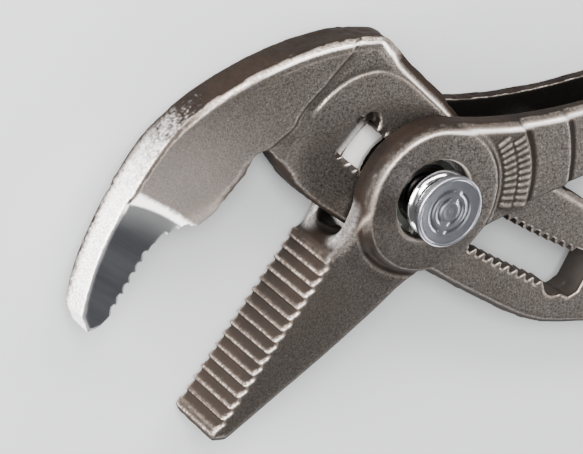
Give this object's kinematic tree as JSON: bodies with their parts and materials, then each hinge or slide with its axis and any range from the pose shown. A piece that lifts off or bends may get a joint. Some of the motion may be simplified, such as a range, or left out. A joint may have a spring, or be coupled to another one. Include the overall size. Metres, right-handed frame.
{
  "type": "adjustable pipe wrench",
  "caption": "Adjustable box-joint pipe wrench: hook jaw on a toothed slotted arm, lower jaw arm with two cheeks, push-button slot lock and dipped handle grips.",
  "frame": {"origin": "on the pivot axis, in the plane of the far cheek's disc and the rear disc, on which the tool lies", "axes": "+X to the handle ends, +Y to the upper handle, +Z along the pivot axis towards the button"},
  "size_m": [0.4, 0.1484, 0.0335],
  "materials": {
    "forged_steel": "matt grained forging, bright on worn edges",
    "bolt_steel": "turned, oiled",
    "plated_steel": "polished plating",
    "spring_steel": "drawn wire and strip",
    "dipped_grip": "matt dipped plastic"
  },
  "bodies": {
    "hook_arm": {"hook_jaw_arm": "forged_steel", "lower_grip": "dipped_grip"},
    "bolt": {"hinge_bolt": "bolt_steel", "rear_disc": "bolt_steel", "rear_screw": "bolt_steel", "stop_washer": "spring_steel", "stop_ring": "spring_steel", "return_spring": "spring_steel"},
    "box_arm": {"box_jaw_arm": "forged_steel", "front_ring": "spring_steel", "upper_grip": "dipped_grip"},
    "button": {"toothed_lock": "bolt_steel", "button_stem": "plated_steel", "push_button": "plated_steel"}
  },
  "joints": [
    {"name": "slot_travel", "type": "hinge", "parent": "hook_arm", "child": "bolt", "pos_m": [0.18964, 0.35219, 0], "axis": [0, 0, 1], "range_deg": [-1.5, 4.5]},
    {"name": "jaw_pivot", "type": "hinge", "parent": "bolt", "child": "box_arm", "pos_m": [0, 0, 0], "axis": [0, 0, 1], "range_deg": [-4, 30]},
    {"name": "button_press", "type": "slide", "parent": "bolt", "child": "button", "axis": [0, 0, -1], "range_m": [0, 0.006], "stiffness_N_per_m": 1500, "springref_m": -0.004, "deforming": ["return_spring"]}
  ]
}
